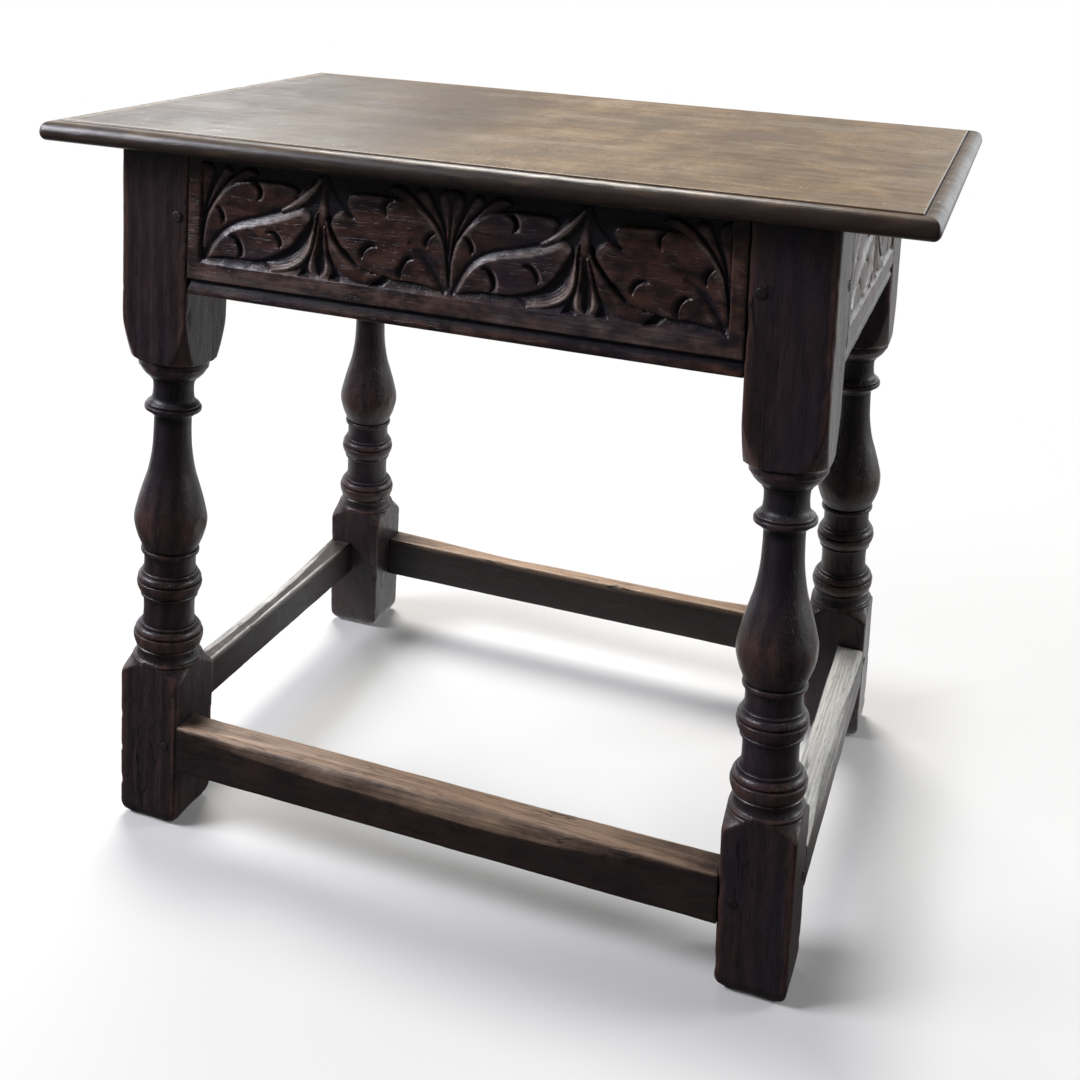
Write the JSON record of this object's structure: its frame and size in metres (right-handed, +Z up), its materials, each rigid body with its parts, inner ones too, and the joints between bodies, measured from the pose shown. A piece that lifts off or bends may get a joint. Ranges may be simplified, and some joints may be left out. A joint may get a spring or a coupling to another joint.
{
  "type": "joint stool",
  "caption": "Low oblong oak stool: a moulded board top on canted turned legs, tied by carved rails and low stretchers with pegged mortise and tenon joints.",
  "frame": {"origin": "on the floor, under the middle of the top board", "axes": "+X along the long side to the right as seen from the front, +Y to the rear, +Z up"},
  "size_m": [0.56, 0.3956, 0.53],
  "materials": {
    "dark_oak": "aged oak, dark brown, waxed, rubbed lighter on its edges",
    "top_oak": "aged oak, worn to a mid grey brown, waxed to a soft sheen",
    "worn_oak": "aged oak, dark faces with upper edges rubbed bare and pale",
    "peg_oak": "riven oak, end grain, dark"
  },
  "bodies": {
    "root": {"top_board": "top_oak", "top_pegs": "peg_oak", "leg_front_left": "dark_oak", "leg_front_right": "dark_oak", "leg_rear_left": "dark_oak", "leg_rear_right": "dark_oak", "front_rail": "dark_oak", "front_stretcher": "worn_oak", "front_rail_pegs": "peg_oak", "front_stretcher_pegs": "peg_oak", "right_rail": "dark_oak", "right_stretcher": "worn_oak", "right_rail_pegs": "peg_oak", "right_stretcher_pegs": "peg_oak", "rear_rail": "dark_oak", "rear_stretcher": "worn_oak", "rear_rail_pegs": "peg_oak", "rear_stretcher_pegs": "peg_oak", "left_rail": "dark_oak", "left_stretcher": "worn_oak", "left_rail_pegs": "peg_oak", "left_stretcher_pegs": "peg_oak"}
  },
  "joints": []
}
